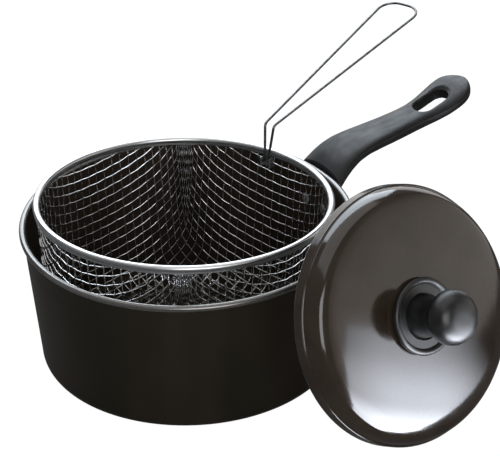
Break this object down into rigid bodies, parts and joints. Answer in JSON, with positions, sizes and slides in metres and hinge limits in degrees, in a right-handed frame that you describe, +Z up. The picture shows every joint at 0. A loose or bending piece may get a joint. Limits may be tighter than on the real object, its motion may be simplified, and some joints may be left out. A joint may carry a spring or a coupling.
{
  "type": "deep fry pot with basket",
  "caption": "Deep round fry pot with a long grip, a lift-out wire mesh basket with a folding wire handle, and a domed lid with a knob standing beside it.",
  "frame": {"origin": "centre of the pot's flat base, on the surface that it stands on", "axes": "+Z up along the pot's own axis, +X along the pot's grip, +Y to the left of the grip as seen from the pot"},
  "size_m": [0.3583, 0.3198, 0.1567],
  "materials": {
    "pot_coating": "dark non-stick coating, satin, with a bare polished rim bead",
    "lid_coating": "dark coating, glossy",
    "phenolic": "black moulded phenolic, satin",
    "knob_phenolic": "black moulded phenolic, glossy",
    "steel": "plain zinc-plated steel",
    "wire_steel": "tinned steel wire",
    "band_metal": "bright polished sheet",
    "clip_steel": "grey bent sheet",
    "brass": "turned, threaded inside"
  },
  "bodies": {
    "pot": {"pot_body": "pot_coating", "handle_grip": "phenolic", "handle_bracket": "steel", "bracket_rivet_left": "steel", "bracket_rivet_right": "steel", "handle_screw": "steel", "handle_washer": "steel"},
    "basket": {"basket_net": "wire_steel", "basket_rim_band": "band_metal", "basket_core_wire": "wire_steel", "handle_clip": "clip_steel"},
    "wire_handle": {"basket_handle": "wire_steel"},
    "lid": {"lid_shell": "lid_coating", "knob": "knob_phenolic", "knob_disc": "knob_phenolic", "knob_insert": "brass", "knob_washer": "steel", "knob_screw": "steel"}
  },
  "joints": [
    {"name": "basket_lift", "type": "slide", "parent": "pot", "child": "basket", "axis": [0, 0, 1], "range_m": [0, 0.12]},
    {"name": "handle_fold", "type": "hinge", "parent": "basket", "child": "wire_handle", "pos_m": [0.08499, 0.03068, 0.10015], "axis": [0.3295, -0.9438, 0.0241], "range_deg": [0, 175]},
    {"name": "lid_lift", "type": "slide", "parent": "pot", "child": "lid", "axis": [0, 0, 1], "range_m": [0, 0.18]}
  ]
}
